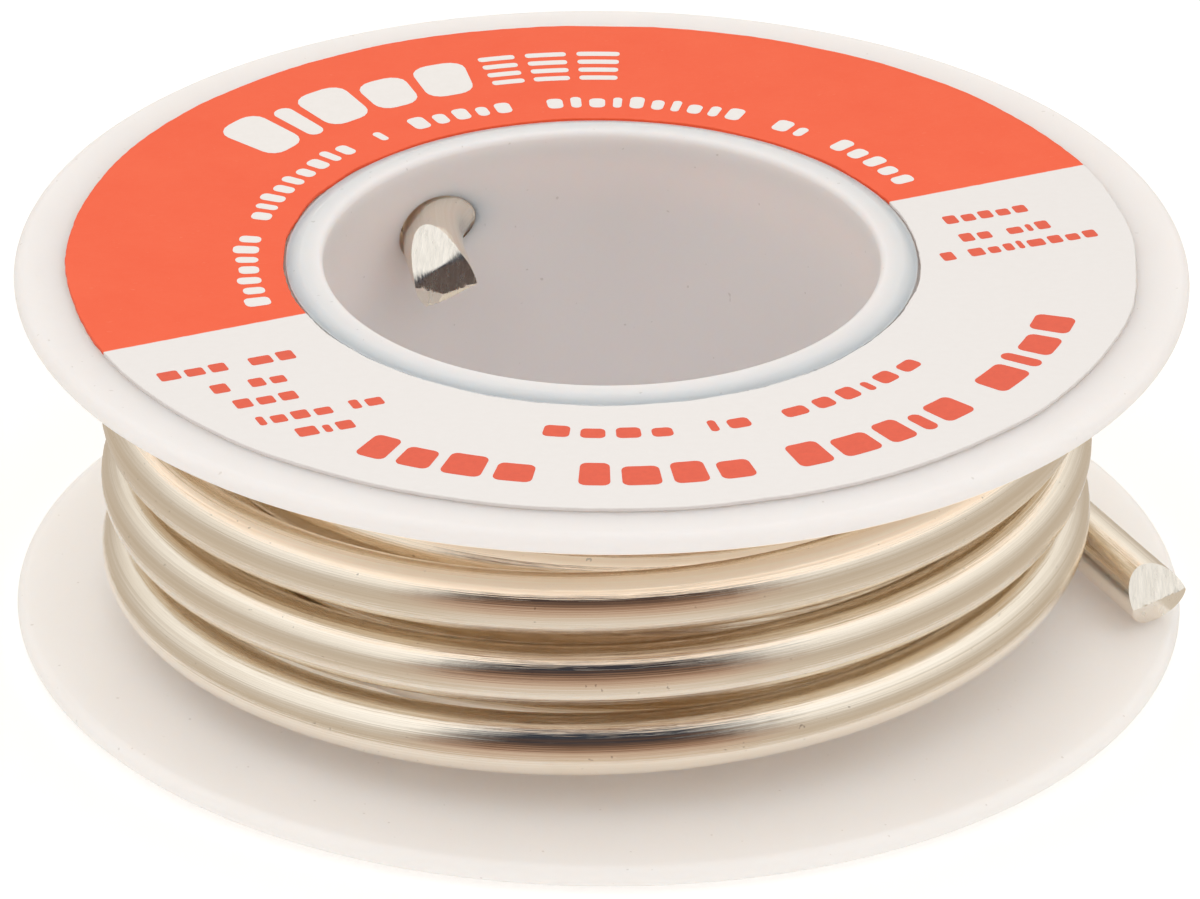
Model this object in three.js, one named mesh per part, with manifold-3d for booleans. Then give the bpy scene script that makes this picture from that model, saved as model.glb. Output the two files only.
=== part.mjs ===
// Spool of thick solid solder wire: two pressed-on flanges on a tube hub, a paper face label,
// and one length of 1/8 inch wire wound on in three layers.
// Units are millimetres. +Z runs up the spool's axis, and z = 0 is the plane it stands on.
import * as THREE from "three";
import { mergeVertices } from "three/addons/utils/BufferGeometryUtils.js";
import Module from "manifold-3d";

// ---- driving dimensions --------------------------------------------------------------------
const WIRE_DIAMETER = 3.175;
const FLANGE_DIAMETER = 60.3;
const FLANGE_THICKNESS = 1.2;
const WINDING_GAP = 17.6; // clear height between the two flanges
const BORE_RADIUS = 14.3;
const SPIGOT_RADIUS = 15.15; // the hub's ends, where they pass through the flanges
const BARREL_RADIUS = 15.6; // the hub between the flanges, which also shoulders them apart
const LIP_HEIGHT = 0.4; // rolled-over hub end standing proud of each flange
const LIP_FLAT_RADIUS = 15.3; // its flat ring, which the spool stands and stacks on
const LIP_OUTER_RADIUS = 16.2; // where it has sloped down to the flange
const LIP_EDGE = 0.1; // its thickness there
const LIP_ROUNDING = 0.22; // at the mouth of the bore
const FIT_GAP = 0.05; // between faces that sit on each other
const FLANGE_HOLE_RADIUS = SPIGOT_RADIUS + 0.15;
const LABEL_OUTER_RADIUS = 27.5;
const LABEL_INNER_RADIUS = 16.4;
const LABEL_THICKNESS = 0.15;
const AROUND = 72; // facets round each turned piece

// ---- levels up the axis --------------------------------------------------------------------
const LOWER_FLANGE_Z = LIP_HEIGHT;
const WINDING_FLOOR_Z = LOWER_FLANGE_Z + FLANGE_THICKNESS;
const WINDING_ROOF_Z = WINDING_FLOOR_Z + WINDING_GAP;
const LABEL_FACE_Z = WINDING_ROOF_Z + FLANGE_THICKNESS;
const SPOOL_HEIGHT = LABEL_FACE_Z + LIP_HEIGHT;

// ---- the wire's route ----------------------------------------------------------------------
// It starts inside the bore, bends out through the hub wall, and winds clockwise as seen from
// above: layer one goes down, layer two comes up, layer three goes down and leaves as a tail.
const TURN = 2 * Math.PI;
const WIRE_RADIUS = WIRE_DIAMETER / 2;
const FIRST_LAYER_RADIUS = BARREL_RADIUS + WIRE_RADIUS + 0.03;
const LAYER_STEP = 3.27; // one layer's centreline to the next
const LOWEST_TURN_Z = WINDING_FLOOR_Z + WIRE_RADIUS + 0.06;
const HIGHEST_TURN_Z = WINDING_ROOF_Z - WIRE_RADIUS - 0.06;
const INNER_TIP = new THREE.Vector3(-7.95, 5.9, 15.7);
const WALL_HOLE = new THREE.Vector3(-9.35, 10.82, 16.7);
const INNER_BEND_RADIUS = 6.4;
const TAIL_TIP = new THREE.Vector3(28.95, -4.15, 3.2);
const FIRST_LAYER_TURNS = 3.7;
const UPPER_CROSSING_ANGLE = THREE.MathUtils.degToRad(215); // where layer two climbs onto three
const TAIL_ANGLE = THREE.MathUtils.degToRad(26); // where the tail leaves the winding
const CROSSING_HALF_TURNS = 0.13; // half the stretch over which the wire climbs a layer
const TWO_LAYER_WHOLE_TURNS = 7; // complete turns in the two inner layers together
const THIRD_LAYER_WHOLE_TURNS = 3;
const SETTLE = 0.45; // the outer layer's extra drop, made over its first SETTLE_TURNS
const SETTLE_TURNS = 0.5;
const LEAN = 0.28; // the outer turns are tilted: this much higher towards LEAN_ANGLE
const SHIFT = 0.28; // and set off the axis by this much the other way
const LEAN_ANGLE = THREE.MathUtils.degToRad(45);
const STEPS_PER_TURN = 40;
const WIRE_SIDES = 8;
const SECTION_RADIUS = 1.55; // of the faceted section, so that facets of crossing turns stay apart
const HOLE_CLEARANCE = 0.35; // round the wire where it passes through the hub wall
const HOLE_SIDES = 12;
const BEND_STEPS = 10;
const TAIL_STEPS = 5;
const OVERSHOOT = 2; // drawn beyond each tip, then trimmed off by the cut

// Each end was nipped with side cutters: two facets, leaning from square, meet in a ridge that
// stands this much above the wire's centreline.
const INNER_CUT = { upperLean: 52, lowerLean: 35, ridge: -0.1 };
const TAIL_CUT = { upperLean: 45, lowerLean: 28, ridge: 0.1 };

const wasm = await Module();
wasm.setup();

function solidFrom(geometry) {
  const bare = geometry.clone();
  bare.deleteAttribute("normal");
  bare.deleteAttribute("uv");
  const merged = mergeVertices(bare, 1e-4);
  return new wasm.Manifold(
    new wasm.Mesh({
      numProp: 3,
      vertProperties: new Float32Array(merged.attributes.position.array),
      triVerts: new Uint32Array(merged.index.array),
    }),
  );
}

function geometryFrom(solid) {
  const mesh = solid.getMesh();
  const geometry = new THREE.BufferGeometry();
  geometry.setAttribute("position", new THREE.BufferAttribute(mesh.vertProperties, 3));
  geometry.setIndex(new THREE.BufferAttribute(mesh.triVerts, 1));
  geometry.computeVertexNormals();
  return geometry;
}

// A closed outline of [radius, z] pairs, given anticlockwise, turned about the spool's axis.
function turned(outline) {
  const closed = [...outline, outline[0]];
  const points = closed.map(([radius, z]) => new THREE.Vector2(radius, z));
  return new THREE.LatheGeometry(points, AROUND).rotateX(Math.PI / 2);
}

function smoothStep(t) {
  const c = THREE.MathUtils.clamp(t, 0, 1);
  return c * c * c * (c * (6 * c - 15) + 10);
}

// The bend that carries the wire from its straight inner end onto the first layer: an arc that
// touches the straight at one end and the first layer's circle, from inside, at the other.
function innerBend() {
  const along = WALL_HOLE.clone().sub(INNER_TIP).setZ(0).normalize();
  const toCentre = new THREE.Vector3(along.y, -along.x, 0);
  const overHole = WALL_HOLE.clone().setZ(0).addScaledVector(toCentre, INNER_BEND_RADIUS);
  const half = overHole.dot(along);
  const rest = overHole.lengthSq() - (FIRST_LAYER_RADIUS - INNER_BEND_RADIUS) ** 2;
  const shift = Math.sqrt(half * half - rest) - half;
  const centre = overHole.addScaledVector(along, shift);
  const from = Math.atan2(-toCentre.y, -toCentre.x);
  return { centre, from, to: Math.atan2(centre.y, centre.x) };
}

const BEND = innerBend();
const LAYER_ONE_ANGLE = BEND.to;
const TWO_LAYERS =
  TWO_LAYER_WHOLE_TURNS + (LAYER_ONE_ANGLE - UPPER_CROSSING_ANGLE + TURN) / TURN;
const SECOND_LAYER_TURNS = TWO_LAYERS - FIRST_LAYER_TURNS;
const THIRD_LAYER_TURNS = THIRD_LAYER_WHOLE_TURNS + (UPPER_CROSSING_ANGLE - TAIL_ANGLE) / TURN;
const ALL_TURNS = TWO_LAYERS + THIRD_LAYER_TURNS;

function climbed(turns, crossing) {
  return smoothStep((turns - crossing + CROSSING_HALF_TURNS) / (2 * CROSSING_HALF_TURNS));
}

function layerRadius(turns, angle) {
  const second = climbed(turns, FIRST_LAYER_TURNS);
  const third = climbed(turns, TWO_LAYERS);
  const offset = SHIFT * (1 - Math.cos(angle - LEAN_ANGLE));
  return FIRST_LAYER_RADIUS + LAYER_STEP * second + (LAYER_STEP + offset) * third;
}

function leanAt(angle) {
  return LEAN * Math.cos(angle - LEAN_ANGLE);
}

function turnHeight(turns, angle) {
  if (turns < FIRST_LAYER_TURNS) {
    return THREE.MathUtils.lerp(WALL_HOLE.z, LOWEST_TURN_Z, turns / FIRST_LAYER_TURNS);
  }
  if (turns < TWO_LAYERS) {
    const share = (turns - FIRST_LAYER_TURNS) / SECOND_LAYER_TURNS;
    return THREE.MathUtils.lerp(LOWEST_TURN_Z, HIGHEST_TURN_Z, share);
  }
  const outer = turns - TWO_LAYERS;
  const settled = smoothStep(outer / SETTLE_TURNS);
  const fall = HIGHEST_TURN_Z - SETTLE + leanAt(TAIL_ANGLE) - LOWEST_TURN_Z;
  const settledBy = (leanAt(angle) - SETTLE) * settled;
  return HIGHEST_TURN_Z + settledBy - fall * (outer / THIRD_LAYER_TURNS);
}

function windingPoint(turns) {
  const angle = LAYER_ONE_ANGLE - TURN * turns;
  const radius = layerRadius(turns, angle);
  return new THREE.Vector3(
    radius * Math.cos(angle),
    radius * Math.sin(angle),
    turnHeight(turns, angle),
  );
}

function bendPoint(share) {
  const span = THREE.MathUtils.euclideanModulo(BEND.from - BEND.to, TURN);
  const angle = BEND.from - span * share;
  return new THREE.Vector3(
    BEND.centre.x + INNER_BEND_RADIUS * Math.cos(angle),
    BEND.centre.y + INNER_BEND_RADIUS * Math.sin(angle),
    WALL_HOLE.z,
  );
}

// The stretch inside the bore and through the wall, starting `extra` beyond the inner tip.
function innerEnd(extra) {
  const bendStart = bendPoint(0);
  const beyond = INNER_TIP.clone().sub(bendStart).setLength(extra);
  const points = [INNER_TIP.clone().add(beyond)];
  points.push(INNER_TIP.clone().lerp(bendStart, 0.5));
  for (let i = 0; i < BEND_STEPS; i += 1) {
    points.push(bendPoint(i / BEND_STEPS));
  }
  return points;
}

// The stretch that leaves the winding and runs straight to `extra` beyond the tail's tip.
function tail(extra) {
  const leave = windingPoint(ALL_TURNS);
  const beyond = TAIL_TIP.clone().sub(leave).setLength(extra);
  const points = [];
  for (let i = 1; i < TAIL_STEPS; i += 1) {
    points.push(leave.clone().lerp(TAIL_TIP, i / TAIL_STEPS));
  }
  points.push(TAIL_TIP.clone().add(beyond));
  return points;
}

function route(points) {
  const curve = new THREE.CatmullRomCurve3(points, false, "centripetal");
  curve.arcLengthDivisions = 8 * points.length;
  return curve;
}

function tube(curve, radius, sides, steps) {
  const section = new THREE.Shape();
  for (let i = 0; i < sides; i += 1) {
    const angle = (TURN * i) / sides;
    const corner = [radius * Math.cos(angle), radius * Math.sin(angle)];
    if (i === 0) {
      section.moveTo(...corner);
    } else {
      section.lineTo(...corner);
    }
  }
  section.closePath();
  return new THREE.ExtrudeGeometry(section, { steps, extrudePath: curve });
}

// A block whose face passes `ridge` above `point` and faces back along the wire, leaning by
// `degrees` from square to it. Two of them, leaning opposite ways, leave a ridge.
function cutterBlock(point, along, degrees, ridge) {
  const size = 5; // wider than the wire, and too short to reach the winding
  const across = new THREE.Vector3().crossVectors(along, new THREE.Vector3(0, 0, 1)).normalize();
  const facing = along.clone().applyAxisAngle(across, THREE.MathUtils.degToRad(degrees));
  const block = new THREE.BoxGeometry(size, size, size);
  block.translate(size / 2, 0, 0);
  const turn = new THREE.Quaternion().setFromUnitVectors(new THREE.Vector3(1, 0, 0), facing);
  block.applyQuaternion(turn);
  block.translate(point.x, point.y, point.z + ridge);
  return solidFrom(block);
}

function cutEnd(solid, point, along, cut) {
  const upper = cutterBlock(point, along, cut.upperLean, cut.ridge);
  const lower = cutterBlock(point, along, -cut.lowerLean, cut.ridge);
  return solid.subtract(upper).subtract(lower);
}

function wireSolid() {
  const turns = Math.round(ALL_TURNS * STEPS_PER_TURN);
  const winding = [];
  for (let i = 0; i <= turns; i += 1) {
    winding.push(windingPoint((ALL_TURNS * i) / turns));
  }
  const points = [...innerEnd(OVERSHOOT), ...winding, ...tail(OVERSHOOT)];
  const steps = turns + BEND_STEPS + TAIL_STEPS;
  const whole = solidFrom(tube(route(points), SECTION_RADIUS, WIRE_SIDES, steps));
  const inward = INNER_TIP.clone().sub(bendPoint(0)).normalize();
  const outward = TAIL_TIP.clone().sub(windingPoint(ALL_TURNS)).normalize();
  const trimmed = cutEnd(whole, INNER_TIP, inward, INNER_CUT);
  return cutEnd(trimmed, TAIL_TIP, outward, TAIL_CUT);
}

// The hub's hole is the wire's own path, a little fatter, so it comes out slanted and long.
function wallCutter() {
  const points = innerEnd(0);
  points.push(bendPoint(1));
  const steps = 2 * BEND_STEPS;
  return solidFrom(tube(route(points), WIRE_RADIUS + HOLE_CLEARANCE, HOLE_SIDES, steps));
}

// ---- the pieces ----------------------------------------------------------------------------
const naturalPlastic = new THREE.MeshStandardMaterial({
  color: 0xe8e4e3,
  roughness: 0.42,
  metalness: 0,
});

function hubBarrel() {
  const mouth = BORE_RADIUS + LIP_ROUNDING;
  const lowerSeat = LOWER_FLANGE_Z - FIT_GAP;
  const upperSeat = LABEL_FACE_Z + FIT_GAP;
  const geometry = turned([
    [BORE_RADIUS, LIP_ROUNDING],
    [mouth, 0],
    [LIP_FLAT_RADIUS, 0],
    [LIP_OUTER_RADIUS, lowerSeat - LIP_EDGE],
    [LIP_OUTER_RADIUS, lowerSeat],
    [SPIGOT_RADIUS, lowerSeat],
    [SPIGOT_RADIUS, WINDING_FLOOR_Z + FIT_GAP],
    [BARREL_RADIUS, WINDING_FLOOR_Z + FIT_GAP],
    [BARREL_RADIUS, WINDING_ROOF_Z - FIT_GAP],
    [SPIGOT_RADIUS, WINDING_ROOF_Z - FIT_GAP],
    [SPIGOT_RADIUS, upperSeat],
    [LIP_OUTER_RADIUS, upperSeat],
    [LIP_OUTER_RADIUS, upperSeat + LIP_EDGE],
    [LIP_FLAT_RADIUS, SPOOL_HEIGHT],
    [mouth, SPOOL_HEIGHT],
    [BORE_RADIUS, SPOOL_HEIGHT - LIP_ROUNDING],
  ]);
  const pierced = solidFrom(geometry).subtract(wallCutter());
  return new THREE.Mesh(geometryFrom(pierced), naturalPlastic.clone());
}

// A flat disc with a fully rounded rim, its lower face at z = 0.
function flange() {
  const half = FLANGE_THICKNESS / 2;
  const rimCentre = FLANGE_DIAMETER / 2 - half;
  const outline = [[FLANGE_HOLE_RADIUS, 0]];
  const rimSteps = 6;
  for (let i = 0; i <= rimSteps; i += 1) {
    const angle = Math.PI * (i / rimSteps - 0.5);
    outline.push([rimCentre + half * Math.cos(angle), half + half * Math.sin(angle)]);
  }
  outline.push([FLANGE_HOLE_RADIUS, FLANGE_THICKNESS]);
  return new THREE.Mesh(turned(outline), naturalPlastic.clone());
}

function faceLabel() {
  const geometry = turned([
    [LABEL_INNER_RADIUS, 0],
    [LABEL_OUTER_RADIUS, 0],
    [LABEL_OUTER_RADIUS, LABEL_THICKNESS],
    [LABEL_INNER_RADIUS, LABEL_THICKNESS],
  ]);
  const paper = new THREE.MeshStandardMaterial({ color: 0xf2694a, roughness: 0.6, metalness: 0 });
  return new THREE.Mesh(geometry, paper);
}

function solderWire() {
  const solder = new THREE.MeshStandardMaterial({
    color: 0xcfc6b4,
    roughness: 0.25,
    metalness: 1,
  });
  return new THREE.Mesh(geometryFrom(wireSolid()), solder);
}

function placed(mesh, name, z) {
  mesh.name = name;
  mesh.position.z = z;
  return mesh;
}

const group = new THREE.Group();
group.add(placed(hubBarrel(), "hub_barrel", 0));
group.add(placed(flange(), "lower_flange", LOWER_FLANGE_Z));
group.add(placed(flange(), "upper_flange", WINDING_ROOF_Z));
group.add(placed(faceLabel(), "face_label", LABEL_FACE_Z + FIT_GAP));
group.add(placed(solderWire(), "solder_wire", 0));

export default group;
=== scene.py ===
"""A spool of thick solid solder wire, in Blender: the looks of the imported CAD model.

Sizes below are in millimetres, and MM turns them into Blender's metres. The axis of the spool is Z.
"""
import math
import numpy as np
import bmesh
import bpy
from mathutils import Matrix, Vector, noise

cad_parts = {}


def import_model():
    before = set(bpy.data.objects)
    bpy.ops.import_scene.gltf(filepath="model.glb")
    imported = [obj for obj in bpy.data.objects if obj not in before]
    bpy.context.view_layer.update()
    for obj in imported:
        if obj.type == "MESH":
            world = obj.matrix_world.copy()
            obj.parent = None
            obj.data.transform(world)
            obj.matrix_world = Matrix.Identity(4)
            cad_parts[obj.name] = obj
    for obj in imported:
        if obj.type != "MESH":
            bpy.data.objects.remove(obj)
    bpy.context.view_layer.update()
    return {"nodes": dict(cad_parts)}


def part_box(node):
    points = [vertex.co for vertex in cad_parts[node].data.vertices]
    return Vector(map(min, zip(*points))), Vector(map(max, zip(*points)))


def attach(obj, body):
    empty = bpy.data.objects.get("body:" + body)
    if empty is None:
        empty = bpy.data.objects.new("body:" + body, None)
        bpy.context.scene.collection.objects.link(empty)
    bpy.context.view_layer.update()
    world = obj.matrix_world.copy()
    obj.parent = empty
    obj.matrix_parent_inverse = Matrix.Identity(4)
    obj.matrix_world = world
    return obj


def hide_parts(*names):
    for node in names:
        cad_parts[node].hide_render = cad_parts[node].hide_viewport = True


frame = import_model()

MM = 0.001
TURN = 2 * math.pi


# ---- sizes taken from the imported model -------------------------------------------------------
def node_radii(name):
    """The smallest and largest distance of a node's points from the spool's axis, in mm."""
    reach = [math.hypot(v.co.x, v.co.y) / MM for v in frame["nodes"][name].data.vertices]
    return min(reach), max(reach)


def node_levels(name):
    """The lowest and highest level of a node, in mm."""
    low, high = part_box(name)
    return low[2] / MM, high[2] / MM


BORE_RADIUS, LIP_OUTER_RADIUS = node_radii("hub_barrel")
BARREL_RADIUS = 15.6
LIP_FLAT_RADIUS = 15.3
LIP_EDGE = 0.1
FLANGE_HOLE_RADIUS, FLANGE_RADIUS = node_radii("upper_flange")
LABEL_INNER_RADIUS, LABEL_OUTER_RADIUS = node_radii("face_label")
STANDING_Z, LIP_TOP_Z = node_levels("hub_barrel")
LOWER_FLANGE_Z, WINDING_FLOOR_Z = node_levels("lower_flange")
WINDING_ROOF_Z, UPPER_FACE_Z = node_levels("upper_flange")
LABEL_FACE_Z = node_levels("face_label")[1]
FLANGE_THICKNESS = WINDING_FLOOR_Z - LOWER_FLANGE_Z

# ---- the wire's route, the same as the CAD's -------------------------------------------------
WIRE_RADIUS = 3.175 / 2
FIRST_LAYER_RADIUS = BARREL_RADIUS + WIRE_RADIUS + 0.03
LAYER_STEP = 3.27
LOWEST_TURN_Z = WINDING_FLOOR_Z + WIRE_RADIUS + 0.06
HIGHEST_TURN_Z = WINDING_ROOF_Z - WIRE_RADIUS - 0.06
INNER_TIP = Vector((-7.95, 5.9, 15.7))
WALL_HOLE = Vector((-9.35, 10.82, 16.7))
TAIL_TIP = Vector((28.95, -4.15, 3.2))
INNER_BEND_RADIUS = 6.4
FIRST_LAYER_TURNS = 3.7
UPPER_CROSSING_ANGLE = math.radians(215)
TAIL_ANGLE = math.radians(26)
CROSSING_HALF_TURNS = 0.13
SETTLE = 0.45
LEAN = 0.28
SHIFT = 0.28
LEAN_ANGLE = math.radians(45)
SETTLE_TURNS = 0.5
TWO_LAYER_WHOLE_TURNS = 7
THIRD_LAYER_WHOLE_TURNS = 3
STEPS_PER_TURN = 120
BEND_STEPS = 24
TAIL_STEPS = 12
SMOOTHING_PASSES = 3


def smooth_step(t):
    """Eases from 0 to 1, with no corner and no sudden change of bend at either end."""
    c = min(max(t, 0.0), 1.0)
    return c * c * c * (c * (6 * c - 15) + 10)


def inner_bend():
    """The centre and the two angles of the arc between the straight inner end and layer one."""
    along = (WALL_HOLE - INNER_TIP).to_2d().normalized()
    to_centre = Vector((along.y, -along.x))
    over_hole = WALL_HOLE.to_2d() + to_centre * INNER_BEND_RADIUS
    half = over_hole.dot(along)
    rest = over_hole.length_squared - (FIRST_LAYER_RADIUS - INNER_BEND_RADIUS) ** 2
    centre = over_hole + along * (math.sqrt(half * half - rest) - half)
    return centre, math.atan2(-to_centre.y, -to_centre.x), math.atan2(centre.y, centre.x)


BEND_CENTRE, BEND_FROM, LAYER_ONE_ANGLE = inner_bend()
TWO_LAYERS = TWO_LAYER_WHOLE_TURNS + (LAYER_ONE_ANGLE - UPPER_CROSSING_ANGLE + TURN) / TURN
SECOND_LAYER_TURNS = TWO_LAYERS - FIRST_LAYER_TURNS
THIRD_LAYER_TURNS = THIRD_LAYER_WHOLE_TURNS + (UPPER_CROSSING_ANGLE - TAIL_ANGLE) / TURN
ALL_TURNS = TWO_LAYERS + THIRD_LAYER_TURNS


def lean_at(angle):
    """How much the tilt of the outer layer lifts it at this angle."""
    return LEAN * math.cos(angle - LEAN_ANGLE)


def climbed(turns, crossing):
    return smooth_step((turns - crossing + CROSSING_HALF_TURNS) / (2 * CROSSING_HALF_TURNS))


def layer_radius(turns, angle):
    second = climbed(turns, FIRST_LAYER_TURNS)
    third = climbed(turns, TWO_LAYERS)
    offset = SHIFT * (1 - math.cos(angle - LEAN_ANGLE))
    return FIRST_LAYER_RADIUS + LAYER_STEP * second + (LAYER_STEP + offset) * third


def turn_height(turns, angle):
    if turns < FIRST_LAYER_TURNS:
        return WALL_HOLE.z + (LOWEST_TURN_Z - WALL_HOLE.z) * turns / FIRST_LAYER_TURNS
    if turns < TWO_LAYERS:
        share = (turns - FIRST_LAYER_TURNS) / SECOND_LAYER_TURNS
        return LOWEST_TURN_Z + (HIGHEST_TURN_Z - LOWEST_TURN_Z) * share
    outer = turns - TWO_LAYERS
    settled = smooth_step(outer / SETTLE_TURNS)
    fall = HIGHEST_TURN_Z - SETTLE + lean_at(TAIL_ANGLE) - LOWEST_TURN_Z
    return HIGHEST_TURN_Z + (lean_at(angle) - SETTLE) * settled - fall * outer / THIRD_LAYER_TURNS


def winding_point(turns):
    angle = LAYER_ONE_ANGLE - TURN * turns
    radius = layer_radius(turns, angle)
    return Vector((radius * math.cos(angle), radius * math.sin(angle), turn_height(turns, angle)))


def bend_point(share):
    angle = BEND_FROM - ((BEND_FROM - LAYER_ONE_ANGLE) % TURN) * share
    flat = BEND_CENTRE + INNER_BEND_RADIUS * Vector((math.cos(angle), math.sin(angle)))
    return Vector((flat.x, flat.y, WALL_HOLE.z))


def evenly(points, step):
    """The same line with points a step apart, smoothed a little so that it has no corner."""
    line = np.array([tuple(p) for p in points])
    for _ in range(SMOOTHING_PASSES):
        fine = resampled(line, step)
        inner = (fine[:-2] + 2 * fine[1:-1] + fine[2:]) / 4
        line = np.vstack([fine[:1], inner, fine[-1:]])
    return resampled(line, step)


def resampled(line, step):
    along = np.concatenate([[0], np.cumsum(np.linalg.norm(np.diff(line, axis=0), axis=1))])
    count = max(2, int(round(along[-1] / step)) + 1)
    places = np.linspace(0, along[-1], count)
    return np.stack([np.interp(places, along, line[:, k]) for k in range(3)], axis=1)


def wire_line(step):
    """The wire's centreline from its inner tip to its tail's tip, with points a step apart."""
    points = [INNER_TIP.lerp(bend_point(0), i / 4) for i in range(4)]
    points += [bend_point(i / BEND_STEPS) for i in range(BEND_STEPS)]
    steps = int(ALL_TURNS * STEPS_PER_TURN)
    points += [winding_point(ALL_TURNS * i / steps) for i in range(steps + 1)]
    leave = winding_point(ALL_TURNS)
    points += [leave.lerp(TAIL_TIP, (i + 1) / TAIL_STEPS) for i in range(TAIL_STEPS)]
    return evenly(points, step)


# ---- mesh helpers ----------------------------------------------------------------------------
def make_object(name, vertices, faces, materials, smooth=True, uvs=None, face_slots=None):
    mesh = bpy.data.meshes.new(name)
    mesh.from_pydata([tuple(c * MM for c in v) for v in vertices], [], faces)
    for material in materials:
        mesh.materials.append(material)
    mesh.polygons.foreach_set("use_smooth", [smooth] * len(mesh.polygons))
    if face_slots is not None:
        mesh.polygons.foreach_set("material_index", face_slots)
    if uvs is not None:
        layer = mesh.uv_layers.new(name="along_wire")
        layer.data.foreach_set("uv", [c for uv in uvs for c in uv])
    mesh.validate()
    mesh.update()
    obj = bpy.data.objects.new(name, mesh)
    bpy.context.collection.objects.link(obj)
    return obj


def arc(centre_r, centre_z, radius, start, end, steps):
    """Points on an arc in the (radius, z) plane, angles in degrees."""
    angles = [math.radians(start + (end - start) * i / steps) for i in range(steps + 1)]
    return [(centre_r + radius * math.cos(a), centre_z + radius * math.sin(a)) for a in angles]


def lathe(name, profile, around, materials, shape=None):
    """A closed (radius, z) outline, given anticlockwise, turned about Z. shape moves each point."""
    vertices = []
    for i in range(around):
        angle = TURN * i / around
        for radius, z in profile:
            point = Vector((radius * math.cos(angle), radius * math.sin(angle), z))
            vertices.append(shape(point, angle) if shape else point)
    count = len(profile)
    faces = []
    for i in range(around):
        j = (i + 1) % around
        for k in range(count):
            m = (k + 1) % count
            faces.append((i * count + k, j * count + k, j * count + m, i * count + m))
    return make_object(name, vertices, faces, materials)


def shade_by_angle(obj, degrees):
    obj.data.set_sharp_from_angle(angle=math.radians(degrees))


def apply_modifiers(obj):
    for other in bpy.context.selected_objects:
        other.select_set(False)
    bpy.context.view_layer.objects.active = obj
    obj.select_set(True)
    for modifier in list(obj.modifiers):
        bpy.ops.object.modifier_apply(modifier=modifier.name)


# ---- node helpers ----------------------------------------------------------------------------
class Tree:
    """A node tree, with short calls for the nodes used here."""

    def __init__(self, tree):
        self.tree = tree

    def add(self, kind, inputs=None, **settings):
        node = self.tree.nodes.new(kind)
        for key, value in settings.items():
            setattr(node, key, value)
        for key, value in (inputs or {}).items():
            self.put(node.inputs[key], value)
        return node

    def put(self, socket, value):
        if isinstance(value, bpy.types.NodeSocket):
            self.tree.links.new(value, socket)
        else:
            socket.default_value = value

    def place(self, kind="Object"):
        return self.add("ShaderNodeTexCoord").outputs[kind]

    def scaled(self, vector, scale):
        return self.add("ShaderNodeMapping", {"Vector": vector, "Scale": scale}).outputs[0]

    def noise(self, vector, scale, detail=3.0, roughness=0.5, distortion=0.0):
        inputs = {
            "Vector": vector,
            "Scale": scale,
            "Detail": detail,
            "Roughness": roughness,
            "Distortion": distortion,
        }
        return self.add("ShaderNodeTexNoise", inputs).outputs["Fac"]

    def ramp(self, value, stops):
        node = self.add("ShaderNodeValToRGB", {"Fac": value})
        elements = node.color_ramp.elements
        while len(elements) < len(stops):
            elements.new(0.5)
        for element, (position, colour) in zip(elements, stops):
            element.position = position
            element.color = (*colour, 1.0) if hasattr(colour, "__len__") else (colour,) * 3 + (1.0,)
        return node.outputs["Color"]

    def math(self, operation, *values, clamp=False):
        node = self.add("ShaderNodeMath", operation=operation, use_clamp=clamp)
        for socket, value in zip(node.inputs, values):
            self.put(socket, value)
        return node.outputs[0]

    def mix(self, factor, first, second, blend="MIX"):
        node = self.add("ShaderNodeMix", data_type="RGBA", blend_type=blend)
        self.put(node.inputs["Factor"], factor)
        for socket, value in ((node.inputs[6], first), (node.inputs[7], second)):
            self.put(socket, (*value, 1.0) if isinstance(value, tuple) else value)
        return node.outputs[2]

    def spread(self, value, low, high):
        inputs = {"Value": value, "To Min": low, "To Max": high}
        return self.add("ShaderNodeMapRange", inputs).outputs[0]

    def bump(self, height, strength, distance, normal=None):
        inputs = {"Height": height, "Strength": strength, "Distance": distance}
        if normal is not None:
            inputs["Normal"] = normal
        return self.add("ShaderNodeBump", inputs).outputs[0]


class Nodes(Tree):
    """A material's node tree."""

    def __init__(self, name):
        self.material = bpy.data.materials.new(name)
        self.material.use_nodes = True
        super().__init__(self.material.node_tree)
        self.shader = self.tree.nodes["Principled BSDF"]

    def set(self, **values):
        for key, value in values.items():
            self.put(self.shader.inputs[key.replace("_", " ")], value)


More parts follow.
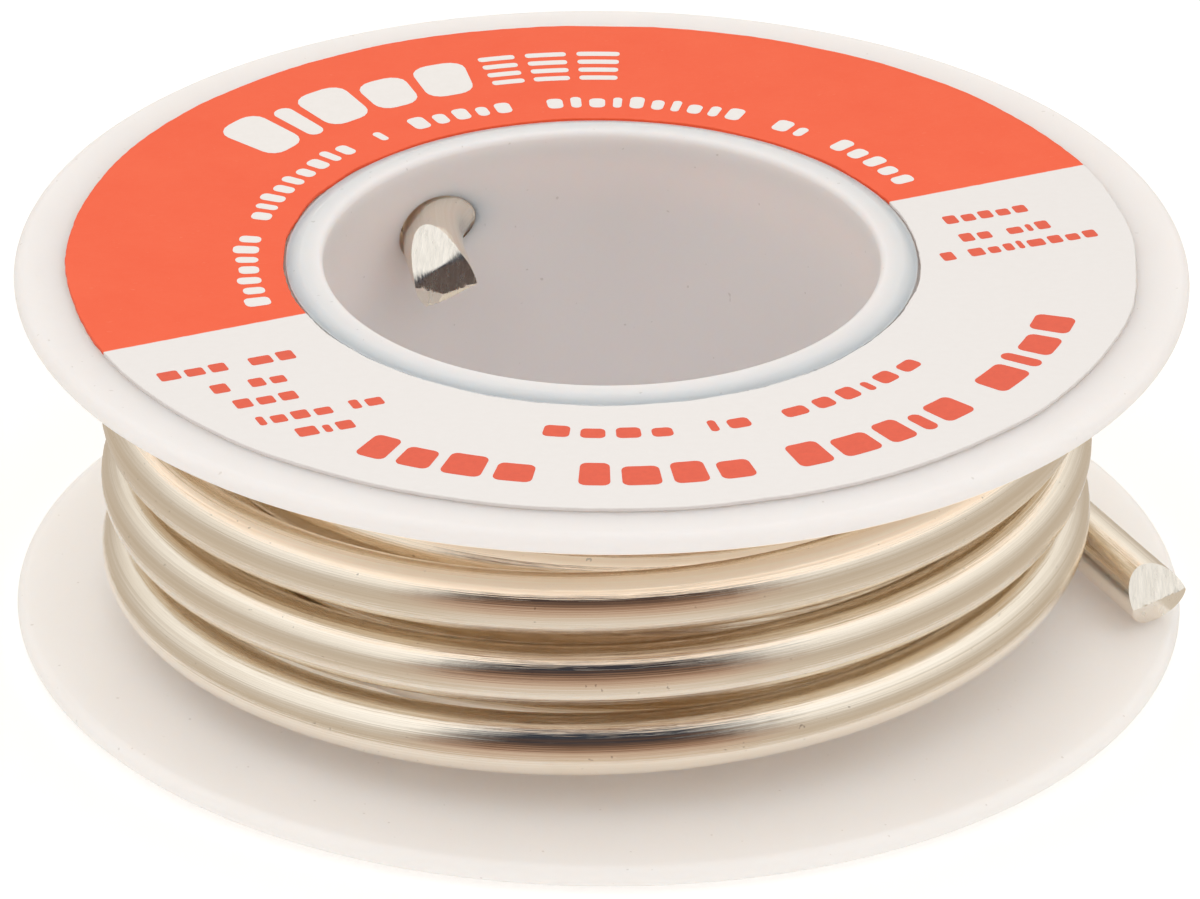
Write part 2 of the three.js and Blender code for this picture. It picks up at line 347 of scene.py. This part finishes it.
# ---- materials -------------------------------------------------------------------------------
def natural_plastic(name, depth, shade, light, painted_glow_below=None):
    """Milky unpigmented moulding plastic: soft sheen, light spreads in it, stray dark specks.

    Below the level that the last argument gives, in mm, it has a painted warm glow: the plastic
    emits light that stands in for daylight soaking through it.
    """
    n = Nodes(name)
    here = n.place()
    tint = n.mix(n.noise(here, 90.0, 2.0), shade, light)
    specks = n.noise(here, 3200.0, 0.0)
    speck = n.ramp(specks, [(0.0, 0.0), (0.84, 0.0), (0.87, 1.0)])
    n.set(Base_Color=n.mix(n.math("MULTIPLY", speck, 0.35), tint, (0.45, 0.40, 0.36)))
    scuffs = n.noise(n.scaled(here, (1.0, 1.0, 6.0)), 260.0, 4.0, 0.6)
    n.set(Roughness=n.spread(scuffs, 0.30, 0.52))
    ripple = n.bump(n.noise(here, 160.0, 3.0), 0.10, 0.0006)
    n.set(Normal=n.bump(n.noise(here, 2600.0, 2.0), 0.05, 0.0001, ripple))
    n.set(IOR=1.49, Subsurface_Weight=1.0, Subsurface_Scale=depth)
    n.set(Subsurface_Radius=(1.0, 0.82, 0.72))
    # painted glow: below the given level the plastic emits a warm light, standing in for daylight
    # that soaks through it
    if painted_glow_below is not None:
        level = n.add("ShaderNodeSeparateXYZ", {0: here}).outputs["Z"]
        under = {
            "Value": level,
            "From Min": (painted_glow_below - 0.1) * MM,
            "From Max": painted_glow_below * MM,
            "To Min": 0.34,
            "To Max": 0.0,
        }
        n.set(Emission_Strength=n.add("ShaderNodeMapRange", under).outputs[0])
        n.set(Emission_Color=(1.0, 0.74, 0.50, 1.0))
    return n.material


def label_paper():
    """Coated paper printed orange-red over its far half, along one straight edge."""
    n = Nodes("label_paper")
    here = n.place()
    split_angle = math.radians(24.0)
    split_offset = 0.0002
    inputs = {0: here, 1: (-math.sin(split_angle), math.cos(split_angle), 0.0)}
    dot = n.add("ShaderNodeVectorMath", inputs, operation="DOT_PRODUCT").outputs["Value"]
    fuzz = n.math("MULTIPLY", n.math("SUBTRACT", n.noise(here, 2200.0, 2.0), 0.5), 0.00006)
    edge = n.math("SUBTRACT", n.math("ADD", dot, fuzz), split_offset)
    printed = n.spread(n.math("MULTIPLY", edge, 18000.0), 0.0, 1.0)
    fibre = n.noise(n.scaled(here, (1.0, 1.6, 1.0)), 1700.0, 5.0, 0.65)
    mottle = n.noise(here, 240.0, 4.0, 0.6)
    red = n.mix(mottle, (0.91, 0.110, 0.040), (0.95, 0.145, 0.060))
    red = n.mix(n.ramp(fibre, [(0.0, 0.0), (0.62, 0.0), (0.80, 0.30)]), red, (1.0, 0.36, 0.25))
    white = n.mix(fibre, (0.83, 0.80, 0.78), (0.87, 0.845, 0.83))
    n.set(Base_Color=n.mix(printed, white, red))
    n.set(Roughness=n.spread(fibre, 0.48, 0.68))
    n.set(Normal=n.bump(fibre, 0.12, 0.00006))
    n.set(IOR=1.45, Specular_IOR_Level=0.35)
    return n.material


def label_ink(name, dark, light):
    """A printed film: even colour broken by the paper's grain."""
    n = Nodes(name)
    here = n.place()
    grain = n.noise(here, 2600.0, 4.0, 0.7)
    n.set(Base_Color=n.mix(grain, dark, light))
    n.set(Roughness=n.spread(grain, 0.45, 0.65))
    n.set(Normal=n.bump(grain, 0.10, 0.00004))
    n.set(Specular_IOR_Level=0.35)
    return n.material


def solder_metal():
    """Bright drawn tin alloy with fine lines along the wire and faint straw-coloured tarnish."""
    n = Nodes("solder")
    along = n.place("UV")
    here = n.place()
    lines = n.noise(n.scaled(along, (0.22, 46.0, 1.0)), 1.0, 5.0, 0.65)
    bands = n.noise(n.scaled(along, (0.10, 6.0, 1.0)), 1.0, 2.0)
    patches = n.noise(here, 130.0, 3.0)
    tint = n.mix(patches, (0.96, 0.915, 0.84), (0.93, 0.85, 0.73))
    tint = n.mix(n.ramp(lines, [(0.36, 0.30), (0.58, 0.0)]), tint, (0.80, 0.70, 0.56))
    dust = n.ramp(n.noise(here, 3600.0, 1.0), [(0.0, 0.0), (0.75, 0.0), (0.80, 0.5)])
    n.set(Base_Color=n.mix(dust, tint, (0.35, 0.31, 0.27)))
    n.set(Metallic=1.0)
    n.set(Roughness=n.spread(n.math("MULTIPLY", n.math("ADD", lines, bands), 0.5), 0.0, 0.13))
    drawn = n.bump(lines, 0.6, 0.00005)
    flats = n.bump(bands, 0.5, 0.00016, drawn)
    dents = n.bump(n.noise(here, 260.0, 2.0), 0.10, 0.0004, flats)
    n.set(Normal=n.bump(n.noise(here, 3200.0, 2.0), 0.05, 0.00003, dents))
    return n.material


def cut_metal():
    """The nipped ends: bright and smooth, with faint tear marks across."""
    n = Nodes("solder_cut")
    here = n.place()
    tears = n.noise(n.scaled(here, (4.0, 1.0, 1.0)), 900.0, 3.0, 0.6)
    n.set(Base_Color=n.mix(tears, (0.97, 0.93, 0.86), (0.90, 0.85, 0.76)))
    n.set(Metallic=1.0, Roughness=n.spread(tears, 0.14, 0.36))
    n.set(Normal=n.bump(tears, 0.12, 0.00006))
    return n.material


def floor_material():
    n = Nodes("studio_floor")
    here = n.place()
    grain = n.noise(here, 40.0, 2.0)
    n.set(Base_Color=n.mix(grain, (0.68, 0.68, 0.68), (0.70, 0.70, 0.70)))
    n.set(Roughness=0.9, Specular_IOR_Level=0.1)
    # The floor glows: painted light that keeps it white and lights the spool from below. The glow
    # fades out near the axis, so the floor in and under the bore is darker: painted shade.
    from_axis = n.add("ShaderNodeVectorMath", {0: here}, operation="LENGTH").outputs["Value"]
    lit = {"Value": from_axis, "From Min": 0.012, "From Max": 0.020, "To Max": 0.45}
    n.set(Emission_Strength=n.add("ShaderNodeMapRange", lit).outputs[0])
    n.set(Emission_Color=(1.0, 0.98, 0.95, 1.0))
    return n.material


# ---- the solder wire -------------------------------------------------------------------------
WIRE_SIDES = 64
HOLE_CLEARANCE = 0.13
HOLE_OFFSET = (0.12, 0.0, -0.04)  # the wire is pulled against the upper left of its hole
CAP_RINGS = 56
STRAIGHT_END = 4.0  # the last stretch, whose rings close up on the cut
WIRE_STEP = 1.25
CUTTER_STEP = 0.35
CUTTER_POINTS = 46  # enough of the line to pass the wall
UV_LENGTH = 10.0  # mm of wire to one unit of its texture coordinate


class EndCut:
    """The shape that side cutters leave: facets that meet in a ridge, given in the wire's section.

    Each facet is (angle, lean, offset): the way it faces round the wire, how far it leans from
    square, in degrees, and how far it starts from the wire's centre, in mm.
    """

    def __init__(self, facets):
        self.facets = facets

    def depth(self, across, up):
        """How far short of the tip the metal ends at this place in the section."""
        deepest = 0.0
        for angle, lean, offset in self.facets:
            turn = math.radians(angle)
            out = across * math.cos(turn) + up * math.sin(turn)
            deepest = max(deepest, (out - offset) * math.tan(math.radians(lean)))
        return deepest


TAIL_CUT = EndCut([(101, 45, 0.12), (-79, 28, -0.12)])
INNER_CUT = EndCut([(108, 50, -0.16), (112, 71, 0.36), (164, 25, 0.16), (-62, 62, 0.53)])


def frames_along(line):
    """Outward and upward directions across the wire at each point of its line."""
    tangent = np.gradient(line, axis=0)
    tangent /= np.linalg.norm(tangent, axis=1)[:, None]
    outward = np.stack([-tangent[:, 1], tangent[:, 0], np.zeros(len(line))], axis=1)
    outward /= np.linalg.norm(outward, axis=1)[:, None]
    return tangent, outward, np.cross(tangent, outward)


def section_radius(distance, angle):
    """The wire's radius, with the shallow flats and dings of soft metal that has been handled."""
    place = Vector((distance * 0.11, 1.3 * math.cos(angle), 1.3 * math.sin(angle)))
    fine = Vector((distance * 0.6, 2.0 * math.cos(angle), 2.0 * math.sin(angle) + 9.0))
    return WIRE_RADIUS * (1 - 0.008 + 0.010 * noise.noise(place) + 0.003 * noise.noise(fine))


def wire_mesh(line):
    """The wire's vertices, faces, texture coordinates and material slots (0 drawn, 1 cut)."""
    tangent, outward, upward = frames_along(line)
    along = np.concatenate([[0], np.cumsum(np.linalg.norm(np.diff(line, axis=0), axis=1))])
    whole = along[-1]
    angles = [TURN * k / WIRE_SIDES for k in range(WIRE_SIDES)]
    vertices, uvs, faces, slots = [], [], [], []

    def vertex(i, across, up, slide):
        vertices.append(line[i] + outward[i] * across + upward[i] * up + tangent[i] * slide)

    for i, distance in enumerate(along):
        for angle in angles:
            radius = section_radius(distance, angle)
            across, up = radius * math.cos(angle), radius * math.sin(angle)
            to_tail = whole - distance
            slide = 0.0
            if distance < STRAIGHT_END:
                slide = INNER_CUT.depth(-across, up) * (1 - distance / STRAIGHT_END)
            elif to_tail < STRAIGHT_END:
                slide = -TAIL_CUT.depth(across, up) * (1 - to_tail / STRAIGHT_END)
            vertex(i, across, up, slide)
    rings = len(line)
    for i in range(rings - 1):
        for k in range(WIRE_SIDES):
            m = (k + 1) % WIRE_SIDES
            a, b = i * WIRE_SIDES, (i + 1) * WIRE_SIDES
            faces.append((a + k, a + m, b + m, b + k))
            slots.append(0)
            u0, u1 = along[i] / UV_LENGTH, along[i + 1] / UV_LENGTH
            v0, v1 = k / WIRE_SIDES, (k + 1) / WIRE_SIDES
            uvs += [(u0, v0), (u0, v1), (u1, v1), (u1, v0)]

    def cap(i, cut, side):
        """Rings that close up on the cut. side is 1 at the tail and -1 at the inner end."""
        flip = side < 0
        previous = [i * WIRE_SIDES + k for k in range(WIRE_SIDES)]
        for ring in range(1, CAP_RINGS):
            share = 1 - ring / CAP_RINGS
            start = len(vertices)
            for angle in angles:
                radius = section_radius(along[i], angle) * share
                across, up = radius * math.cos(angle), radius * math.sin(angle)
                vertex(i, across, up, -side * cut.depth(side * across, up))
            current = list(range(start, start + WIRE_SIDES))
            for k in range(WIRE_SIDES):
                m = (k + 1) % WIRE_SIDES
                quad = (previous[k], previous[m], current[m], current[k])
                faces.append(quad[::-1] if flip else quad)
                slots.append(1)
                uvs.extend([(0.0, 0.0)] * 4)
            previous = current
        centre = len(vertices)
        vertex(i, 0.0, 0.0, -side * cut.depth(0.0, 0.0))
        for k in range(WIRE_SIDES):
            m = (k + 1) % WIRE_SIDES
            corner = (previous[k], previous[m], centre)
            faces.append(corner[::-1] if flip else corner)
            slots.append(1)
            uvs.extend([(0.0, 0.0)] * 3)

    cap(rings - 1, TAIL_CUT, 1)
    cap(0, INNER_CUT, -1)
    return vertices, faces, uvs, slots


def solder_wire():
    line = wire_line(WIRE_STEP)
    vertices, faces, uvs, slots = wire_mesh(line)
    wire = make_object(
        "solder_wire_drawn", vertices, faces, [solder_metal(), cut_metal()], True, uvs, slots
    )
    shade_by_angle(wire, 24)
    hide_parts("solder_wire")
    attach(wire, "root")
    return wire


# ---- the spool -------------------------------------------------------------------------------
FLANGE_FACETS = 256
HUB_FACETS = 288
LABEL_FACETS = 720
WARP = 0.03
SEAT_GAP = 0.03  # between the hub and the flanges
LIP_ROUNDING = 0.34
LIP_STEPS = 8


def warped(point, angle):
    """A moulded disc is never quite flat: a few hundredths of a millimetre towards its rim."""
    radius = math.hypot(point.x, point.y)
    share = max(0.0, (radius - BARREL_RADIUS) / (FLANGE_RADIUS - BARREL_RADIUS))
    lift = WARP * share * share * math.sin(2 * angle + 0.7)
    return Vector((point.x, point.y, point.z + lift))


def flange(name, node, low_z, plastic):
    """A flat disc with a fully rounded rim and a chamfered hole."""
    half = FLANGE_THICKNESS / 2
    chamfer = 0.12
    hole = FLANGE_HOLE_RADIUS - 0.1
    rim = FLANGE_RADIUS - half - 0.01
    radii = [hole + chamfer, hole + 0.5, 17.5, 20.0, 23.0, 26.0, 28.0, rim]
    profile = [(hole, low_z + chamfer)]
    profile += [(radius, low_z) for radius in radii]
    profile += arc(rim, low_z + half, half, -90, 90, 16)[1:-1]
    profile += [(radius, low_z + FLANGE_THICKNESS) for radius in reversed(radii)]
    profile += [(hole, low_z + FLANGE_THICKNESS - chamfer)]
    disc = lathe(name, profile, FLANGE_FACETS, [plastic], warped)
    shade_by_angle(disc, 40)
    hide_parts(node)
    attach(disc, "root")
    return disc


def tube_around(line, radius, sides=32):
    """A closed round tube along the line, to cut with."""
    _, outward, upward = frames_along(line)
    vertices, faces = [], []
    for i in range(len(line)):
        for k in range(sides):
            angle = TURN * k / sides
            step = outward[i] * math.cos(angle) + upward[i] * math.sin(angle)
            vertices.append(line[i] + step * radius)
    for i in range(len(line) - 1):
        for k in range(sides):
            m = (k + 1) % sides
            a, b = i * sides, (i + 1) * sides
            faces.append((a + k, a + m, b + m, b + k))
    faces.append(tuple(range(sides)[::-1]))
    faces.append(tuple((len(line) - 1) * sides + k for k in range(sides)))
    return make_object("wall_cutter", vertices, faces, [])


def lip(mouth_z, seat_z, side):
    """The rolled-over end of the hub from the bore outwards: a dome that slopes to the flange."""
    inner = BORE_RADIUS + LIP_ROUNDING
    outline = []
    for k in range(LIP_STEPS + 1):
        t = math.radians(90 * k / LIP_STEPS)
        below = LIP_ROUNDING * (1 - math.sin(t))
        outline.append((inner - LIP_ROUNDING * math.cos(t), mouth_z - side * below))
    crest, foot = LIP_FLAT_RADIUS, LIP_OUTER_RADIUS
    drop = abs(mouth_z - seat_z) - LIP_EDGE
    for k in range(1, LIP_STEPS + 1):
        share = k / LIP_STEPS
        below = drop * share * share * (3 - 2 * share)
        outline.append((crest + (foot - crest) * share, mouth_z - side * below))
    outline.append((foot, seat_z))
    return outline


def hub_profile():
    """The section of the hub: a rolled lip at each end and a shoulder under each flange."""
    spigot = FLANGE_HOLE_RADIUS - 0.12
    low_seat, high_seat = LOWER_FLANGE_Z - SEAT_GAP, UPPER_FACE_Z + SEAT_GAP
    low_shoulder, high_shoulder = WINDING_FLOOR_Z + SEAT_GAP, WINDING_ROOF_Z - SEAT_GAP
    outline = lip(STANDING_Z, low_seat, -1)
    outline += [(spigot, low_seat)]
    outline += [(spigot, low_shoulder), (BARREL_RADIUS, low_shoulder)]
    outline += [(BARREL_RADIUS, high_shoulder), (spigot, high_shoulder)]
    outline += [(spigot, high_seat)]
    outline += reversed(lip(LIP_TOP_Z, high_seat, 1))
    top, bottom = outline[-1][1], outline[0][1]
    return outline + [(BORE_RADIUS, top - (top - bottom) * i / 24) for i in range(1, 24)]


def hub(plastic):
    barrel = lathe("hub_moulding", hub_profile(), HUB_FACETS, [plastic])
    line = wire_line(CUTTER_STEP)[:CUTTER_POINTS] + np.array(HOLE_OFFSET)
    cutter = tube_around(line, WIRE_RADIUS + HOLE_CLEARANCE)
    cut = barrel.modifiers.new("wall_hole", "BOOLEAN")
    cut.object = cutter
    cut.operation = "DIFFERENCE"
    cut.solver = "EXACT"
    apply_modifiers(barrel)
    bpy.data.objects.remove(cutter, do_unlink=True)
    shade_by_angle(barrel, 35)
    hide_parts("hub_barrel")
    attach(barrel, "root")
    return barrel


# ---- the label -------------------------------------------------------------------------------
LABEL_BASE_Z = UPPER_FACE_Z + 0.02
INK_THICKNESS = 0.012
INK_SINK = 0.004  # how far the ink's foot is set into the paper


def ragged(point, angle):
    """A stamped paper edge wanders by a few hundredths of a millimetre."""
    radius = math.hypot(point.x, point.y)
    turn = Vector((math.cos(angle), math.sin(angle), 0.0))
    wander = 0.10 * noise.noise(turn * 6 + Vector((radius, 0, 0)))
    wander += 0.035 * noise.noise(turn * 45 + Vector((0, radius, 0)))
    edge = abs(radius - LABEL_OUTER_RADIUS) < 0.2 or abs(radius - LABEL_INNER_RADIUS) < 0.2
    scale = 1 + (wander - 0.06) / radius * (1 if edge else 0)
    return Vector((point.x * scale, point.y * scale, point.z))


def face_label():
    top = LABEL_FACE_Z
    inner, outer = LABEL_INNER_RADIUS, LABEL_OUTER_RADIUS
    between = [inner + 0.6 + (outer - inner - 1.2) * i / 6 for i in range(7)]
    bevel = 0.03
    profile = [(inner, LABEL_BASE_Z), (outer, LABEL_BASE_Z), (outer, top - bevel)]
    profile += [(outer - bevel, top)]
    profile += [(radius, top) for radius in reversed(between)]
    profile += [(inner + bevel, top), (inner, top - bevel)]
    label = lathe("face_label_paper", profile, LABEL_FACETS, [label_paper()], ragged)
    shade_by_angle(label, 40)
    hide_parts("face_label")
    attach(label, "root")
    return label


class Ink:
    """Collects flat printed marks on the label's face and makes one thin mesh of them."""

    UNEVEN = (1.0, 0.84, 0.93, 0.78, 0.88)  # heights of neighbouring marks, as shares of the row's

    def __init__(self):
        self.vertices = []
        self.faces = []

    def block(self, place, width, height, corner):
        """A bar with rounded corners. place maps (along, up) in mm to a point of the label."""
        corner = min(corner, 0.49 * width, 0.49 * height)
        rounding = [math.radians(22.5 * k) for k in range(5)]
        left = [(corner * (1 - math.sin(t)), corner * (1 - math.cos(t))) for t in rounding]
        pieces = max(2, int((width - 2 * corner) / 0.3))
        middle = [(corner + (width - 2 * corner) * k / pieces, 0.0) for k in range(1, pieces)]
        left.sort()
        columns = left + middle + [(width - x, inset) for x, inset in reversed(left)]
        base = len(self.vertices)
        for x, inset in columns:
            for y, level in (
                (inset, LABEL_FACE_Z - INK_SINK),
                (inset, LABEL_FACE_Z + INK_THICKNESS),
                (height - inset, LABEL_FACE_Z + INK_THICKNESS),
                (height - inset, LABEL_FACE_Z - INK_SINK),
            ):
                self.vertices.append((*place(x, y), level))
        last = base + 4 * (len(columns) - 1)
        for near in range(base, last, 4):
            far = near + 4
            for k in range(3):
                self.faces.append((near + k, far + k, far + k + 1, near + k + 1))
        self.faces.append((base, base + 1, base + 2, base + 3))
        self.faces.append((last + 3, last + 2, last + 1, last))

    def row(self, place, height, widths, gap, corner=0.2, slant=0.0, stretch=1.0, uneven=True):
        """Bars one after the other, from their widths in mm. A negative width leaves a space."""
        offset = 0.0
        for k, width in enumerate(widths):
            if width > 0:
                tall = height * (self.UNEVEN[k % len(self.UNEVEN)] if uneven else 1.0)

                def shifted(x, y, start=offset):
                    return place(start + x + slant * y, y)

                self.block(shifted, width * stretch, tall, corner)
            offset += (abs(width) + gap) * stretch

    def arc_row(self, start, end, base_radius, height, widths, gap, inward=False, **look):
        """A row that fills the arc from the angle start to the angle end, in degrees."""
        natural = sum(abs(width) for width in widths) + gap * (len(widths) - 1)
        stretch = math.radians(abs(end - start)) * base_radius / natural
        turn = math.copysign(1.0, end - start)

        def place(x, y):
            angle = math.radians(start) + turn * x / base_radius
            radius = base_radius + (-y if inward else y)
            return radius * math.cos(angle), radius * math.sin(angle)

        self.row(place, height, widths, gap, stretch=stretch, **look)

    def straight_row(self, x, y, angle, height, widths, gap, **look):
        """A row on a straight line through (x, y), in mm, turned by angle degrees."""
        along = Vector((math.cos(math.radians(angle)), math.sin(math.radians(angle))))
        up = Vector((-along.y, along.x))

        def place(u, v):
            return tuple(Vector((x, y)) + along * u + up * v)

        self.row(place, height, widths, gap, **look)

    def finish(self, name, material):
        obj = make_object(name, self.vertices, self.faces, [material], smooth=False)
        shell = bmesh.new()
        shell.from_mesh(obj.data)
        bmesh.ops.recalc_face_normals(shell, faces=shell.faces)
        shell.to_mesh(obj.data)
        shell.free()
        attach(obj, "root")


def white_marks():
    """Light marks on the coloured half: thick bars, striped bars and an inner row of small ones."""
    ink = Ink()
    ink.arc_row(146, 109, 20.5, 4.2, [2.5, 1.0, 2.6, 2.4, 2.5], 0.5, slant=0.1, corner=0.9)
    for radius in (20.9, 21.85, 22.8, 23.75):
        ink.arc_row(106, 88, radius, 0.5, [1.9, 2.1, 2.2], 0.55, corner=0.2, uneven=False)
    small = [1.0, 0.8, 0.8, 0.9, 0.7, 0.9, 0.8, -1.2, 0.9, 0.6, 0.8, 0.8, 0.7, 0.8, 0.9, 0.6, 0.8]
    small += [-1.1, 0.5, -1.1, 1.0, 0.8, 0.9, 0.7, 0.9, -1.2, 0.9, 0.6, 0.9, 0.5, 0.8, 0.7, 0.5]
    small += [0.8, 0.6, 0.9, -1.2, 1.0, 0.6, -1.2, 0.9, 0.9, 0.9, 0.9, 0.9]
    ink.arc_row(198, 30, 17.6, 1.35, small, 0.45, corner=0.3)
    ink.finish("label_marks_white", label_ink("ink_white", (0.84, 0.81, 0.78), (0.91, 0.88, 0.86)))


def red_marks():
    """Dark marks on the plain half: straight rows of small bars at the sides, two curved rows."""
    ink = Ink()
    for x, y, widths in (
        (-22.1, -14.2, [1.1, 1.0, 0.9, -0.6, 1.2, 0.9]),
        (-19.4, -15.5, [0.9, -0.5, 0.8, 0.8]),
        (-18.2, -17.1, [0.9, 0.9, 0.9]),
        (-17.0, -18.9, [0.4, 0.8, 0.9, 0.9, -0.4, 0.5, 0.9]),
        (-15.0, -20.1, [1.1, 0.4, 0.9]),
    ):
        ink.straight_row(x, y, 22.5, 0.95, widths, 0.32, corner=0.15)
    for x, y, widths in (
        (17.8, 4.3, [0.7] * 5),
        (18.6, 2.3, [0.7, 0.7, -0.4, 0.8, 0.3, 0.7]),
        (17.6, 0.1, [0.7, -0.3, 0.8, 0.6, 0.5, 0.3, 0.9, 0.7, 0.7, 0.7]),
    ):
        ink.straight_row(x, y, 21.0, 0.9, widths, 0.26, corner=0.15)
    thin = [1.5, 1.4, 1.4, 1.2, -0.9, 0.5, 1.3, -0.9, 1.5, 1.2, 1.2, 0.5, 1.3, 1.4]
    ink.arc_row(261.5, 325, 19.9, 1.2, thin, 0.6, inward=True, corner=0.3)
    bold = [1.6, 1.8, 2.1, 2.0, -1.1, 1.6, 2.0, 1.8, 1.8, -1.1]
    bold += [1.9, 2.2, 1.6, 0.8, 2.0, -1.1, 2.6, 0.8, 2.0, 1.8]
    ink.arc_row(240.5, 345.5, 25.0, 2.4, bold, 0.6, inward=True, corner=0.4)
    ink.finish("label_marks_red", label_ink("ink_red", (0.70, 0.085, 0.04), (0.88, 0.14, 0.075)))


# ---- studio ----------------------------------------------------------------------------------
def camera():
    """A long lens well in front of the spool, looking down on it, rolled by half a degree."""
    data = bpy.data.cameras.new("camera")
    data.lens = 430.46
    data.sensor_width = 36.0
    data.clip_start = 0.01
    data.clip_end = 50.0
    obj = bpy.data.objects.new("camera", data)
    look_down = 27.538
    roll = 0.524
    tilt = Matrix.Rotation(math.radians(90 - look_down), 4, "X")
    place = Matrix.Translation(Vector((-0.004, -656.789, 352.039 + LOWER_FLANGE_Z - 0.4)) * MM)
    obj.matrix_world = place @ tilt @ Matrix.Rotation(math.radians(roll), 4, "Z")
    bpy.context.collection.objects.link(obj)
    bpy.context.scene.camera = obj


def floor():
    side = 3000.0
    corners = [(-side, -side), (side, -side), (side, side), (-side, side)]
    vertices = [(x, y, -0.02) for x, y in corners]
    plane = make_object("studio_floor", vertices, [(0, 1, 2, 3)], [floor_material()], False)
    plane.visible_glossy = False


def card(name, place, target, width, height, strength):
    """A soft rectangular lamp that lights things but doesn't show in shiny ones."""
    data = bpy.data.lights.new(name, "AREA")
    data.shape = "RECTANGLE"
    data.size = width
    data.size_y = height
    data.energy = strength
    obj = bpy.data.objects.new(name, data)
    way = Vector(target) - Vector(place)
    rotation = way.to_track_quat("-Z", "Y").to_matrix().to_4x4()
    obj.matrix_world = Matrix.Translation(Vector(place)) @ rotation
    obj.visible_glossy = False
    bpy.context.collection.objects.link(obj)


# Colour of the surroundings by height above the horizon, in degrees: soft boxes all round and
# overhead, and in front a dark gap, where the soft boxes leave room for the camera.
BOXES = [
    (-90, (0.68, 0.61, 0.52)),
    (-40, (0.64, 0.56, 0.47)),
    (-12, (0.55, 0.47, 0.38)),
    (4, (0.60, 0.54, 0.47)),
    (22, (0.84, 0.80, 0.74)),
    (40, (1.04, 1.02, 0.98)),
    (66, (1.12, 1.11, 1.10)),
    (76, (1.2, 1.2, 1.2)),
]
GAP = [
    (-90, (0.74, 0.69, 0.62)),
    (-46, (0.74, 0.67, 0.60)),
    (-28, (0.65, 0.53, 0.43)),
    (-12, (0.57, 0.42, 0.32)),
    (3, (0.36, 0.22, 0.15)),
    (18, (0.17, 0.10, 0.07)),
    (33, (0.07, 0.05, 0.045)),
    (50, (0.035, 0.042, 0.06)),
    (76, (0.06, 0.08, 0.11)),
    (83, (1.2, 1.2, 1.2)),
]
GAP_CENTRE = math.radians(-1)
GAP_HALF_WIDTH = math.radians(38)
GAP_SOFTNESS = math.radians(9)
RAMP_RANGE = 2.0  # a colour ramp holds values up to 1, so they are stored divided by this


def world():
    """The tent of soft boxes. The camera itself sees it as plain white."""
    surroundings = bpy.data.worlds.new("tent")
    surroundings.use_nodes = True
    bpy.context.scene.world = surroundings
    n = Tree(surroundings.node_tree)
    surroundings.node_tree.nodes.clear()
    direction = n.place("Generated")
    x, y, z = n.add("ShaderNodeSeparateXYZ", {0: direction}).outputs
    azimuth = n.math("ARCTAN2", x, n.math("MULTIPLY", y, -1.0))
    height = n.math("ADD", n.math("DIVIDE", n.math("ARCSINE", z), math.pi), 0.5)
    levels = []
    for table in (BOXES, GAP):
        stops = [((el + 90) / 180, tuple(c / RAMP_RANGE for c in colour)) for el, colour in table]
        levels.append(n.ramp(height, stops))
    off_centre = n.math("ABSOLUTE", n.math("SUBTRACT", azimuth, GAP_CENTRE))
    edge = {
        "Value": off_centre,
        "From Min": GAP_HALF_WIDTH - GAP_SOFTNESS,
        "From Max": GAP_HALF_WIDTH + GAP_SOFTNESS,
    }
    beside = n.add("ShaderNodeMapRange", edge, interpolation_type="SMOOTHSTEP").outputs[0]
    light = {"Color": n.mix(beside, levels[1], levels[0]), "Strength": RAMP_RANGE}
    lit = n.add("ShaderNodeBackground", light)
    plain = n.add("ShaderNodeBackground", {"Color": (1.0, 1.0, 1.0, 1.0), "Strength": 1.0})
    seen = n.add("ShaderNodeLightPath").outputs["Is Camera Ray"]
    chosen = n.add("ShaderNodeMixShader", {0: seen, 1: lit.outputs[0], 2: plain.outputs[0]})
    n.add("ShaderNodeOutputWorld", {"Surface": chosen.outputs[0]})


def studio():
    bpy.context.scene.view_settings.view_transform = "Standard"
    bpy.context.scene.cycles.diffuse_bounces = 8
    bpy.context.scene.cycles.glossy_bounces = 10
    camera()
    world()
    floor()
    card("front_fill", (0.0, -0.40, 0.45), (0, 0, 0.01), 0.6, 0.4, 1.15)


# ---- everything ------------------------------------------------------------------------------
studio()
solder_wire()
HUB_DEPTH = 0.0012  # how far light spreads in the hub's wall, in metres
FLANGE_DEPTH = 0.006  # and in the flanges
hub_plastic = natural_plastic("hub_plastic", HUB_DEPTH, (0.83, 0.785, 0.775), (0.89, 0.85, 0.845))
lower_plastic = natural_plastic(
    "lower_plastic", FLANGE_DEPTH, (0.83, 0.81, 0.795), (0.88, 0.865, 0.85)
)
# The upper flange's copy of the plastic is darker than the lower flange's: painted shade. It also
# has the painted glow under it.
upper_plastic_painted_shade_and_glow = natural_plastic(
    "upper_plastic_painted_shade_and_glow", FLANGE_DEPTH, (0.74, 0.70, 0.69), (0.79, 0.755, 0.75), WINDING_ROOF_Z + 0.2
)
hub(hub_plastic)
flange("lower_flange_moulding", "lower_flange", LOWER_FLANGE_Z, lower_plastic)
flange("upper_flange_moulding", "upper_flange", WINDING_ROOF_Z, upper_plastic_painted_shade_and_glow)
face_label()
white_marks()
red_marks()
